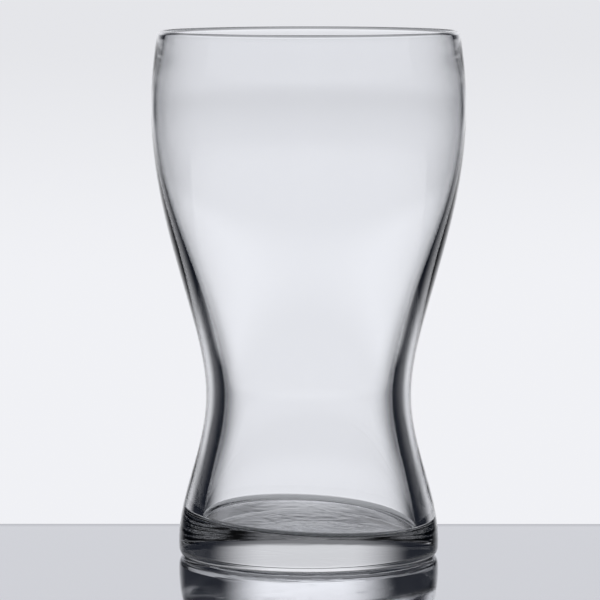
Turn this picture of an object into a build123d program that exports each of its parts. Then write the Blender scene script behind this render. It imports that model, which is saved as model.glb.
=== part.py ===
from build123d import *
import math
import os

# Pint glass with a pinched waist: one piece of clear pressed-and-blown soda-lime glass.
# All sizes are in millimetres, +Z up, with the origin at the centre of the foot's underside.

# Lip: fire-polished to a full round; its section is half a circle over the top of the wall
HEIGHT = 146.0
LIP_THICKNESS = 2.2
LIP_CREST_RADIUS = 40.8
LIP_LEAN = -0.16  # change of radius per height of both walls where they meet the lip

# Foot: a flat standing ring, with a shallow kick inside it and a rounded corner outside it
KICK_HEIGHT = 0.8
RING_INNER_RADIUS = 30.0
RING_OUTER_RADIUS = 33.7
CORNER_HEIGHT = 2.6
CORNER_REACH = 2.0  # how far the corner runs on flat from the ring before it turns up
FOOT_RADIUS = 36.2
FOOT_LEAN = 0.04

# Outer wall above the foot, as (radius, height): flare, waist, shoulder, bowl, widest
OUTER_WALL = [(32.55, 23.3), (28.6, 43.0), (33.1, 69.5), (40.5, 97.3), (43.6, 123.2)]

# Inner wall, from below the floor's edge to just under the lip: thick at the foot and
# the waist, thin in the bowl
INNER_WALL = [
    (30.6, 4.0),
    (27.0, 23.3),
    (23.5, 43.0),
    (28.8, 69.5),
    (38.4, 97.3),
    (42.4, 123.2),
    (41.4, 136.2),
]
WELL_LEAN = -0.10

# Floor of the cavity: moulded a little out of level, with a rounded edge
FLOOR_HEIGHT = 9.3
FLOOR_FALL_RIGHT = 3.0  # degrees down towards +X
FLOOR_FALL_FRONT = 0.5  # degrees down towards -Y
FLOOR_EDGE_RADIUS = 1.4
FLOOR_CORE_RADIUS = 32.0  # any radius inside the glass: past the cavity, short of the outside


def upright(points):
    """Points of the section, given as (radius, height), placed in the XZ plane."""
    return [(radius, 0, height) for radius, height in points]


def wall_curve(points, low_lean, high_lean):
    """One smooth curve up a wall through its points, leaning as given at both ends."""
    return Spline(*upright(points), tangents=[(low_lean, 0, 1), (high_lean, 0, 1)])


def lip_arc():
    """Half circle over the lip, ending square to both walls."""
    half = LIP_THICKNESS / 2
    tilt = math.atan(-LIP_LEAN)
    outward, upward = half * math.cos(tilt), half * math.sin(tilt)
    centre_height = HEIGHT - half
    outside = (LIP_CREST_RADIUS + outward, centre_height + upward)
    inside = (LIP_CREST_RADIUS - outward, centre_height - upward)
    arc = ThreePointArc(*upright([outside, (LIP_CREST_RADIUS, HEIGHT), inside]))
    return arc, outside, inside


def glass_section():
    """Half of the glass cut through its axis, with its cavity ending in a level floor."""
    lip, outside, inside = lip_arc()
    foot = (FOOT_RADIUS, CORNER_HEIGHT)
    outer_wall = wall_curve([foot, *OUTER_WALL, outside], FOOT_LEAN, LIP_LEAN)
    inner_wall = wall_curve([*INNER_WALL, inside], WELL_LEAN, LIP_LEAN)
    well_radius, well_height = INNER_WALL[0]
    floor = Line(*upright([(well_radius, well_height), (0, well_height)]))
    axis = Line(*upright([(0, well_height), (0, KICK_HEIGHT)]))
    kick_top = (0, KICK_HEIGHT)
    kick_side = (RING_INNER_RADIUS / 2, KICK_HEIGHT * 0.75)
    kick = ThreePointArc(*upright([kick_top, kick_side, (RING_INNER_RADIUS, 0)]))
    ring = Line(*upright([(RING_INNER_RADIUS, 0), (RING_OUTER_RADIUS, 0)]))
    corner_low = (RING_OUTER_RADIUS + CORNER_REACH, 0)
    corner_high = (FOOT_RADIUS - FOOT_LEAN * CORNER_HEIGHT / 2, CORNER_HEIGHT / 2)
    corner = Bezier(*upright([(RING_OUTER_RADIUS, 0), corner_low, corner_high, foot]))
    return make_face([kick, ring, corner, outer_wall, lip, inner_wall, floor, axis])


def floor_plane():
    """Plane of the cavity's floor, facing up."""
    fall_right = math.tan(math.radians(FLOOR_FALL_RIGHT))
    fall_front = math.tan(math.radians(FLOOR_FALL_FRONT))
    return Plane(origin=(0, 0, FLOOR_HEIGHT), z_dir=(fall_right, -fall_front, 1))


def make_glass():
    """The whole glass: its turned section, filled up to the floor, with the floor's edge rounded."""
    turned = revolve(glass_section(), Axis.Z)
    floor = floor_plane()
    base_height = INNER_WALL[0][1] / 2
    core = Cylinder(FLOOR_CORE_RADIUS, HEIGHT, align=(Align.CENTER, Align.CENTER, Align.MIN))
    core = split(Pos(0, 0, base_height) * core, bisect_by=floor, keep=Keep.BOTTOM)
    filled = turned + core
    tops = [face for face in filled.faces() if face.is_planar]
    tops = [face for face in tops if face.normal_at().dot(floor.z_dir) > 0.9999]
    return fillet(tops[0].edges(), FLOOR_EDGE_RADIUS)


os.makedirs("parts", exist_ok=True)
glass = make_glass()
print("glass volume", round(glass.volume / 1000, 1), "ml")
export_step(glass, "parts/glass_body.step")
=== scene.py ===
import math

import bpy
import numpy as np
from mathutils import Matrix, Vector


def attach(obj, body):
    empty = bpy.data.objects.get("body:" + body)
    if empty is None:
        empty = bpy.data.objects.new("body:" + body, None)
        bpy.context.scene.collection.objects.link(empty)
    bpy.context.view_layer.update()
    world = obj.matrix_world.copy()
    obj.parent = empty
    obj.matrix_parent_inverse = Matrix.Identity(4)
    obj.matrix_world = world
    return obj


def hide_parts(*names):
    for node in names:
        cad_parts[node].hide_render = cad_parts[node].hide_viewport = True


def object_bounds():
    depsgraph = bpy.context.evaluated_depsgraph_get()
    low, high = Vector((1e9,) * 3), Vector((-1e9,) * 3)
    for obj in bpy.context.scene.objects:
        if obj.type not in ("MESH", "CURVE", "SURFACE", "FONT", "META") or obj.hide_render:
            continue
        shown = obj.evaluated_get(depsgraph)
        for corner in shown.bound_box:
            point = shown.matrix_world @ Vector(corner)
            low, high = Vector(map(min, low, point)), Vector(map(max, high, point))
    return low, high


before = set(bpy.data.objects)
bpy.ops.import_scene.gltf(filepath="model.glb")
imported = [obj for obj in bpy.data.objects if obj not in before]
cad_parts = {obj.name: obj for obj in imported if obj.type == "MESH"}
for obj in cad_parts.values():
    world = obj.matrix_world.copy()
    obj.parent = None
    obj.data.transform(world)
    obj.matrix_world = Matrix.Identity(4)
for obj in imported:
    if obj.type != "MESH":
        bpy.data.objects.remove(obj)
cad_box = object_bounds()

# ------------------------------------------------------------------------------------
# Sizes of the glass, in millimetres: the CAD part's curves, drawn again at a finer mesh
# ------------------------------------------------------------------------------------
MM = 0.001
HEIGHT = (cad_box[1][2] - cad_box[0][2]) / MM

LIP_THICKNESS = 2.2
LIP_CREST_RADIUS = 40.8
LIP_LEAN = -0.16

KICK_HEIGHT = 0.8
RING_INNER_RADIUS = 30.0
RING_OUTER_RADIUS = 33.7
CORNER_HEIGHT = 2.6
CORNER_REACH = 2.0
FOOT_RADIUS = 36.2
FOOT_LEAN = 0.04

OUTER_WALL = [(32.55, 23.3), (28.6, 43.0), (33.1, 69.5), (40.5, 97.3), (43.6, 123.2)]
INNER_WALL = [
    (30.6, 4.0),
    (27.0, 23.3),
    (23.5, 43.0),
    (28.8, 69.5),
    (38.4, 97.3),
    (42.4, 123.2),
    (41.4, 136.2),
]
WELL_LEAN = -0.10

FLOOR_HEIGHT = 9.3
FLOOR_FALL_RIGHT = 3.0
FLOOR_FALL_FRONT = 0.5
FLOOR_EDGE_RADIUS = 1.4

# How finely each stretch of the section is cut, and how many times it goes round
AROUND = 256
KICK_STEPS = 34
RING_STEPS = 6
CORNER_STEPS = 22
OUTER_STEPS = 120
LIP_STEPS = 30
INNER_STEPS = 105
WALL_SEARCH_STEPS = 3000  # how finely the inner wall is searched for where the floor's edge starts
EDGE_STEPS = 24
FLOOR_STEPS = 44


def smooth_curve(points, low_lean, high_lean, steps):
    """Evenly spaced points along the curve through a wall's points, with its lean at both ends."""
    knots = np.array(points, float)
    span = np.linalg.norm(np.diff(knots, axis=0), axis=1)
    chord = np.diff(knots, axis=0) / span[:, None]
    last = len(knots) - 1
    system = np.eye(last + 1)
    slopes = np.zeros((last + 1, 2))
    slopes[0] = np.array([low_lean, 1]) / math.hypot(low_lean, 1)
    slopes[last] = np.array([high_lean, 1]) / math.hypot(high_lean, 1)
    for i in range(1, last):
        below, above = span[i - 1], span[i]
        system[i, i - 1 : i + 2] = above, 2 * (below + above), below
        slopes[i] = 3 * (above * chord[i - 1] + below * chord[i])
    slopes = np.linalg.solve(system, slopes)
    ends = np.concatenate([[0], np.cumsum(span)])
    along = np.linspace(0, ends[-1], steps)
    piece = np.clip(np.searchsorted(ends, along, side="right") - 1, 0, last - 1)
    size = span[piece][:, None]
    t = ((along - ends[piece]) / span[piece])[:, None]
    low, high = knots[piece], knots[piece + 1]
    low_slope, high_slope = slopes[piece] * size, slopes[piece + 1] * size
    rise = t * t * (3 - 2 * t)
    return low + (high - low) * rise + low_slope * t * (1 - t) ** 2 - high_slope * t * t * (1 - t)


def arc(centre, radius, start, end, steps):
    """Points on an arc, from one angle to another."""
    angle = np.linspace(start, end, steps)
    return np.array(centre) + radius * np.stack([np.cos(angle), np.sin(angle)], 1)


def lip():
    """The lip's half circle, from the outer wall over the crest to the inner wall."""
    half = LIP_THICKNESS / 2
    tilt = math.atan(-LIP_LEAN)
    return arc((LIP_CREST_RADIUS, HEIGHT - half), half, tilt, tilt + math.pi, LIP_STEPS)


def kick():
    """The shallow rise under the glass, from the axis out to the standing ring."""
    radius = np.linspace(0, RING_INNER_RADIUS, KICK_STEPS)
    return np.stack([radius, KICK_HEIGHT * (1 - (radius / RING_INNER_RADIUS) ** 2)], 1)


def ring():
    """The flat ring that the glass stands on."""
    radius = np.linspace(RING_INNER_RADIUS, RING_OUTER_RADIUS, RING_STEPS)
    return np.stack([radius, np.zeros(RING_STEPS)], 1)


def corner():
    """The rounded corner from the standing ring up to the foot's side."""
    low = np.array([RING_OUTER_RADIUS, 0])
    low_handle = low + [CORNER_REACH, 0]
    high = np.array([FOOT_RADIUS, CORNER_HEIGHT])
    high_handle = high - [FOOT_LEAN * CORNER_HEIGHT / 2, CORNER_HEIGHT / 2]
    t = np.linspace(0, 1, CORNER_STEPS)[:, None]
    ends = (1 - t) ** 3 * low + t**3 * high
    return ends + 3 * t * (1 - t) * ((1 - t) * low_handle + t * high_handle)


def outside():
    """The section's outside, from the axis under the glass up over the lip."""
    crest = lip()
    foot = (FOOT_RADIUS, CORNER_HEIGHT)
    wall = smooth_curve([foot, *OUTER_WALL, tuple(crest[0])], FOOT_LEAN, LIP_LEAN, OUTER_STEPS)
    return np.concatenate([kick(), ring()[1:], corner()[1:], wall[1:], crest[1:]])


def inside(rise):
    """The section's inside below the lip, where the floor climbs outwards by rise per radius.

    The floor meets the wall in a round edge, found where the wall and the floor, both moved
    into the cavity by the edge's radius, cross.
    """
    wall = smooth_curve([*INNER_WALL, tuple(lip()[-1])], WELL_LEAN, LIP_LEAN, WALL_SEARCH_STEPS)[::-1]
    along = np.gradient(wall, axis=0)
    along /= np.linalg.norm(along, axis=1)[:, None]
    inward = np.stack([along[:, 1], -along[:, 0]], 1)
    inward *= np.where(inward[:, 0] > 0, -1, 1)[:, None]
    moved = wall + FLOOR_EDGE_RADIUS * inward
    steep = math.hypot(1, rise)
    above = moved[:, 1] - FLOOR_HEIGHT - rise * moved[:, 0] - FLOOR_EDGE_RADIUS * steep
    meet = int(np.argmax(above <= 0))
    centre = moved[meet]
    start = math.atan2(-inward[meet][1], -inward[meet][0])
    end = math.atan2(-1, rise)
    start, end = start % (2 * math.pi), end % (2 * math.pi)
    if start < end:
        start += 2 * math.pi
    edge = arc(centre, FLOOR_EDGE_RADIUS, start, end, EDGE_STEPS)
    kept = np.linspace(0, meet, INNER_STEPS).astype(int)
    radius = np.linspace(edge[-1][0], 0, FLOOR_STEPS)
    floor = np.stack([radius, FLOOR_HEIGHT + rise * radius], 1)
    return np.concatenate([wall[kept], edge[1:], floor[1:]])


def waves(x, y, longest, shortest, count, seed):
    """Unevenness about one unit steep: a fixed sum of waves that run in every direction."""
    chance = np.random.default_rng(seed)
    total = np.zeros_like(x)
    for length in np.geomspace(longest, shortest, count):
        turn, phase = chance.uniform(0, 2 * math.pi, 2)
        along = x * math.cos(turn) + y * math.sin(turn)
        total += length / (2 * math.pi) * np.sin(2 * math.pi * along / length + phase)
    return total / math.sqrt(count)


# ------------------------------------------------------------------------------------
# The glass
# ------------------------------------------------------------------------------------
GLASS_IOR = 1.52
GLASS_TINT = (0.985, 0.99, 1.0, 1)
FLOOR_SWIRL_STEEP = 0.022
UNDERSIDE_SWIRL_STEEP = 0.006
FLOOR_SEED = 11
UNDERSIDE_SEED = 23
SWIRL_SPACING = 5.5  # millimetres from one ring of the swirl to the next
SWIRL_BEND = 2.2  # millimetres that the rings are pushed about, for one unit of unevenness
SWIRL_CENTRE = (-3.0, 2.0)
SMOOTH_RIM = 0.6  # the swirl fades out from this share of a surface's radius to its edge


def swirl(x, y, seed):
    """Marks of glass that was poured and pressed: bent rings about an off-centre point."""
    bent_x = x + SWIRL_BEND * waves(x, y, 28.0, 9.0, 5, seed)
    bent_y = y + SWIRL_BEND * waves(x, y, 28.0, 9.0, 5, seed + 1)
    away = np.hypot(bent_x - SWIRL_CENTRE[0], bent_y - SWIRL_CENTRE[1])
    rings = SWIRL_SPACING / (2 * math.pi) * np.sin(2 * math.pi * away / SWIRL_SPACING)
    return 0.6 * rings + 0.8 * waves(bent_x, bent_y, 16.0, 3.5, 9, seed + 2)


def fade(radius, full, none):
    """1 up to the radius full, falling smoothly to 0 at the radius none."""
    t = np.clip((none - radius) / (none - full), 0, 1)
    return t * t * (3 - 2 * t)


def glass_mesh():
    """One closed skin: the section turned round the axis, with a floor a little out of level."""
    outer = outside()
    fall_right = math.tan(math.radians(FLOOR_FALL_RIGHT))
    fall_front = math.tan(math.radians(FLOOR_FALL_FRONT))
    turns = np.arange(AROUND) * 2 * math.pi / AROUND
    sections = []
    for turn in turns:
        rise = fall_front * math.sin(turn) - fall_right * math.cos(turn)
        sections.append(np.concatenate([outer[1:], inside(rise)[1:-1]]))
    section = np.array(sections)
    radius, height = section[..., 0], section[..., 1].copy()
    x = radius * np.cos(turns)[:, None]
    y = radius * np.sin(turns)[:, None]

    floor = slice(-(FLOOR_STEPS - 2), None)
    floor_edge = radius[:, -(FLOOR_STEPS - 1)].min()
    floor_fade = fade(radius[:, floor], floor_edge * SMOOTH_RIM, floor_edge)
    height[:, floor] += FLOOR_SWIRL_STEEP * floor_fade * swirl(x[:, floor], y[:, floor], FLOOR_SEED)
    under = slice(0, KICK_STEPS - 1)
    under_fade = fade(radius[:, under], RING_INNER_RADIUS * SMOOTH_RIM, RING_INNER_RADIUS)
    under_swirl = swirl(x[:, under], y[:, under], UNDERSIDE_SEED)
    height[:, under] += UNDERSIDE_SWIRL_STEEP * under_fade * under_swirl

    axis = np.zeros(1)
    floor_middle = FLOOR_HEIGHT + FLOOR_SWIRL_STEEP * swirl(axis, axis, FLOOR_SEED)[0]
    under_middle = KICK_HEIGHT + UNDERSIDE_SWIRL_STEEP * swirl(axis, axis, UNDERSIDE_SEED)[0]
    top = np.array([[0, 0, floor_middle]])
    bottom = np.array([[0, 0, under_middle]])
    skin = np.stack([x, y, height], 2)
    per_turn = skin.shape[1]
    points = np.concatenate([skin.reshape(-1, 3), bottom, top]) * MM
    bottom_index, top_index = len(points) - 2, len(points) - 1

    faces = []
    for turn in range(AROUND):
        here, there = turn * per_turn, (turn + 1) % AROUND * per_turn
        for step in range(per_turn - 1):
            faces.append((here + step, there + step, there + step + 1, here + step + 1))
        faces.append((bottom_index, there, here))
        faces.append((top_index, here + per_turn - 1, there + per_turn - 1))
    return points, faces


def clear_glass():
    """Clear soda-lime glass with a faint cool tint."""
    material = bpy.data.materials.new("clear_glass")
    material.use_nodes = True
    shader = material.node_tree.nodes["Principled BSDF"]
    shader.inputs["Base Color"].default_value = GLASS_TINT
    shader.inputs["Roughness"].default_value = 0.0
    shader.inputs["IOR"].default_value = GLASS_IOR
    shader.inputs["Transmission Weight"].default_value = 1.0
    return material


def make_glass():
    points, faces = glass_mesh()
    mesh = bpy.data.meshes.new("pint_glass")
    mesh.from_pydata(points.tolist(), [], faces)
    mesh.shade_smooth()
    mesh.materials.append(clear_glass())
    glass = bpy.data.objects.new("pint_glass", mesh)
    bpy.context.scene.collection.objects.link(glass)
    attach(glass, "root")
    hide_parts("glass_body")
    return glass


# ------------------------------------------------------------------------------------
# The table: a pale polished slab that ends a little way behind the glass
# ------------------------------------------------------------------------------------
TABLE_BACK = 0.055
TABLE_FRONT = -2.5
TABLE_HALF_WIDTH = 2.5
TABLE_THICKNESS = 0.012
TABLE_GAP = 0.00005  # the table lies this far under the glass, so that the two never share a face
TABLE_EDGE_SHADE_WIDTH = 0.007  # painted shade: the table's gloss darkens over this distance from its back edge
TABLE_GLOSS_FROM = 0.70  # Layer Weight's facing value where the gloss starts to take over
TABLE_GLOSS_FULL = 0.84  # and where it hides the laminate's own colour
TABLE_ROUGHNESS = 0.05
GLOSS_COLOUR = (0.90, 0.91, 0.95, 1)
# the gloss colour at the back edge, darkened as painted shade
GLOSS_COLOUR_IN_EDGE_SHADE = (0.55, 0.56, 0.60, 1)
LAMINATE_COLOUR = (0.84, 0.85, 0.87, 1)


def pale_table():
    """Pale laminate under a polish: a mirror at a low angle, with painted shade darkening its gloss
    along its back edge.
    """
    material = bpy.data.materials.new("pale_table")
    material.use_nodes = True
    nodes, links = material.node_tree.nodes, material.node_tree.links
    shader = nodes["Principled BSDF"]
    shader.inputs["Metallic"].default_value = 1.0
    shader.inputs["Roughness"].default_value = TABLE_ROUGHNESS
    place = nodes.new("ShaderNodeTexCoord")
    axes = nodes.new("ShaderNodeSeparateXYZ")
    links.new(place.outputs["Object"], axes.inputs[0])
    # painted shade: the mirror's colour darkens towards the table's back edge
    edge = nodes.new("ShaderNodeMapRange")
    edge.interpolation_type = "SMOOTHSTEP"
    edge.inputs["From Min"].default_value = TABLE_BACK - TABLE_EDGE_SHADE_WIDTH
    edge.inputs["From Max"].default_value = TABLE_BACK
    links.new(axes.outputs["Y"], edge.inputs["Value"])
    gloss_with_edge_shade = nodes.new("ShaderNodeMix")
    gloss_with_edge_shade.data_type = "RGBA"
    gloss_with_edge_shade.inputs["A"].default_value = GLOSS_COLOUR
    gloss_with_edge_shade.inputs["B"].default_value = GLOSS_COLOUR_IN_EDGE_SHADE
    links.new(edge.outputs["Result"], gloss_with_edge_shade.inputs["Factor"])
    links.new(gloss_with_edge_shade.outputs["Result"], shader.inputs["Base Color"])

    laminate = nodes.new("ShaderNodeBsdfDiffuse")
    laminate.inputs["Color"].default_value = LAMINATE_COLOUR
    angle = nodes.new("ShaderNodeLayerWeight")
    gloss = nodes.new("ShaderNodeMapRange")
    gloss.interpolation_type = "SMOOTHSTEP"
    gloss.inputs["From Min"].default_value = TABLE_GLOSS_FROM
    gloss.inputs["From Max"].default_value = TABLE_GLOSS_FULL
    links.new(angle.outputs["Facing"], gloss.inputs["Value"])
    coated = nodes.new("ShaderNodeMixShader")
    links.new(gloss.outputs["Result"], coated.inputs["Fac"])
    links.new(laminate.outputs["BSDF"], coated.inputs[1])
    links.new(shader.outputs["BSDF"], coated.inputs[2])
    links.new(coated.outputs["Shader"], nodes["Material Output"].inputs["Surface"])
    return material


def make_table():
    back, front, half = TABLE_BACK, TABLE_FRONT, TABLE_HALF_WIDTH
    outline = [(-half, front), (half, front), (half, back), (-half, back)]
    corners = [(x, y, -TABLE_GAP) for x, y in outline]
    corners += [(x, y, -TABLE_GAP - TABLE_THICKNESS) for x, y in outline]
    sides = [(i, (i + 1) % 4, (i + 1) % 4 + 4, i + 4) for i in range(4)]
    mesh = bpy.data.meshes.new("table")
    mesh.from_pydata(corners, [], [(0, 1, 2, 3), (7, 6, 5, 4), *[side[::-1] for side in sides]])
    mesh.materials.append(pale_table())
    table = bpy.data.objects.new("table", mesh)
    bpy.context.scene.collection.objects.link(table)


# ------------------------------------------------------------------------------------
# The light: a bright screen behind the glass, dark to either side of it, in a faintly lit room
# ------------------------------------------------------------------------------------
SCREEN_LEVEL = 0.885
SCREEN_SIDES = (10, 33, 1.0, 0.01)  # degrees to the side where it starts and ends to darken
SCREEN_HEIGHTS = [  # how it changes with height: from and to, in degrees, and its share at each
    (-5.5, -0.5, 1.0, 0.87),
    (-8.8, -11, 1.0, 1.1),
    (-2.2, 1.2, 1.0, 1.12),
    (5, 9, 1.0, 0.786),
    (10.5, 16, 1.0, 0.3),
    (30, 48, 1.0, 0.25),
    (-12, -26, 1.0, 0.4),
]
GROUND_LEVEL = 0.5  # the pale ground, seen past the table's edge
GROUND_SIDES = (36, 50)
GROUND_HEIGHTS = (-18, -24)
OVERHEAD_LEVEL = 0.45
OVERHEAD_HEIGHTS = (62, 72)
ROOM_LEVEL = 0.08
ROOM_SIDES = (60, 90)
TINT = (0.985, 0.99, 1.02)  # red, green and blue shares of the light
SHADE = (0.003, 0.005, 0.011)  # and what is left where the room is darkest
CEILING_STRENGTH = 1.6
CEILING_SPREAD = 60  # degrees


class Sky:
    """Builds the world's brightness from the direction that a ray leaves in, in degrees."""

    def __init__(self, world):
        self.nodes = world.node_tree.nodes
        self.links = world.node_tree.links
        self.nodes.clear()
        place = self.nodes.new("ShaderNodeTexCoord")
        axes = self.nodes.new("ShaderNodeSeparateXYZ")
        self.links.new(place.outputs["Generated"], axes.inputs[0])
        turn = self.math("ARCTAN2", axes.outputs["X"], axes.outputs["Y"])
        self.turn = self.math("MULTIPLY", turn, math.degrees(1))  # 0 straight behind the glass
        self.side = self.math("ABSOLUTE", self.turn)
        climb = self.math("ARCSINE", axes.outputs["Z"])
        self.climb = self.math("MULTIPLY", climb, math.degrees(1))  # 0 level, 90 overhead

    def put(self, socket, value):
        if isinstance(value, (int, float)):
            socket.default_value = value
        else:
            self.links.new(value, socket)

    def math(self, operation, *values):
        node = self.nodes.new("ShaderNodeMath")
        node.operation = operation
        for socket, value in zip(node.inputs, values):
            self.put(socket, value)
        return node.outputs[0]

    def step(self, angle, start, end, before=0.0, after=1.0):
        """A smooth change from one value to another as the angle goes from start to end."""
        node = self.nodes.new("ShaderNodeMapRange")
        node.interpolation_type = "SMOOTHSTEP"
        low, high = (before, after) if start < end else (after, before)
        for socket, value in zip(node.inputs, (angle, min(start, end), max(start, end), low, high)):
            self.put(socket, value)
        return node.outputs[0]

    def product(self, first, *rest):
        for value in rest:
            first = self.math("MULTIPLY", first, value)
        return first

    def total(self, first, *rest):
        for value in rest:
            first = self.math("ADD", first, value)
        return first


def make_light():
    world = bpy.data.worlds.new("studio")
    world.use_nodes = True
    bpy.context.scene.world = world
    sky = Sky(world)
    side, climb = sky.side, sky.climb

    # how much wider or narrower the screen is at each height than at the level of the table
    spread = sky.total(
        1.0,
        sky.product(-0.12, sky.step(climb, -6, -3), sky.step(climb, 3, 6, 1.0, 0.0)),
        sky.step(climb, 3, 7, 0.0, 0.2),
    )
    screen = sky.product(SCREEN_LEVEL, sky.step(sky.math("DIVIDE", side, spread), *SCREEN_SIDES))
    for change in SCREEN_HEIGHTS:
        screen = sky.product(screen, sky.step(climb, *change))
    ground = sky.product(GROUND_LEVEL, sky.step(side, *GROUND_SIDES), sky.step(climb, *GROUND_HEIGHTS))
    overhead = sky.step(climb, *OVERHEAD_HEIGHTS, 0.0, OVERHEAD_LEVEL)
    room = sky.product(ROOM_LEVEL, sky.step(side, *ROOM_SIDES))
    brightness = sky.total(screen, ground, overhead, room)

    background = sky.nodes.new("ShaderNodeBackground")
    output = sky.nodes.new("ShaderNodeOutputWorld")
    tint = sky.nodes.new("ShaderNodeCombineColor")
    for channel, share, dark in zip(("Red", "Green", "Blue"), TINT, SHADE):
        sky.links.new(sky.math("MULTIPLY_ADD", brightness, share, dark), tint.inputs[channel])
    sky.links.new(tint.outputs[0], background.inputs["Color"])
    sky.links.new(background.outputs[0], output.inputs["Surface"])


def make_ceiling_light():
    """Soft light from overhead for the table, kept out of the glass's own reflections."""
    lamp = bpy.data.lights.new("ceiling", "SUN")
    lamp.energy = CEILING_STRENGTH
    lamp.angle = math.radians(CEILING_SPREAD)
    holder = bpy.data.objects.new("ceiling", lamp)
    holder.visible_camera = False
    holder.visible_glossy = False
    holder.visible_transmission = False
    bpy.context.scene.collection.objects.link(holder)


# ------------------------------------------------------------------------------------
# The camera: a long lens, just above the lip and looking a little down
# ------------------------------------------------------------------------------------
CAMERA_DISTANCE = 1.118
CAMERA_ABOVE_LIP = 1.7  # degrees that the camera looks down on the near lip's middle
CAMERA_PITCH = 5.515
CAMERA_YAW = 0.123
CAMERA_FOCAL_LENGTH = 242.4
SENSOR_WIDTH = 36.0


def make_camera():
    camera = bpy.data.cameras.new("camera")
    camera.sensor_width = SENSOR_WIDTH
    camera.lens = CAMERA_FOCAL_LENGTH
    holder = bpy.data.objects.new("camera", camera)
    above = CAMERA_DISTANCE * math.tan(math.radians(CAMERA_ABOVE_LIP))
    holder.location = (0, -CAMERA_DISTANCE, HEIGHT * MM + above)
    holder.rotation_euler = (math.radians(90 - CAMERA_PITCH), 0, math.radians(CAMERA_YAW))
    bpy.context.scene.collection.objects.link(holder)
    bpy.context.scene.camera = holder


make_camera()
make_glass()
make_table()
make_light()
make_ceiling_light()

scene = bpy.context.scene
scene.view_settings.view_transform = "Standard"
scene.cycles.max_bounces = 32
scene.cycles.transmission_bounces = 32
scene.cycles.glossy_bounces = 16
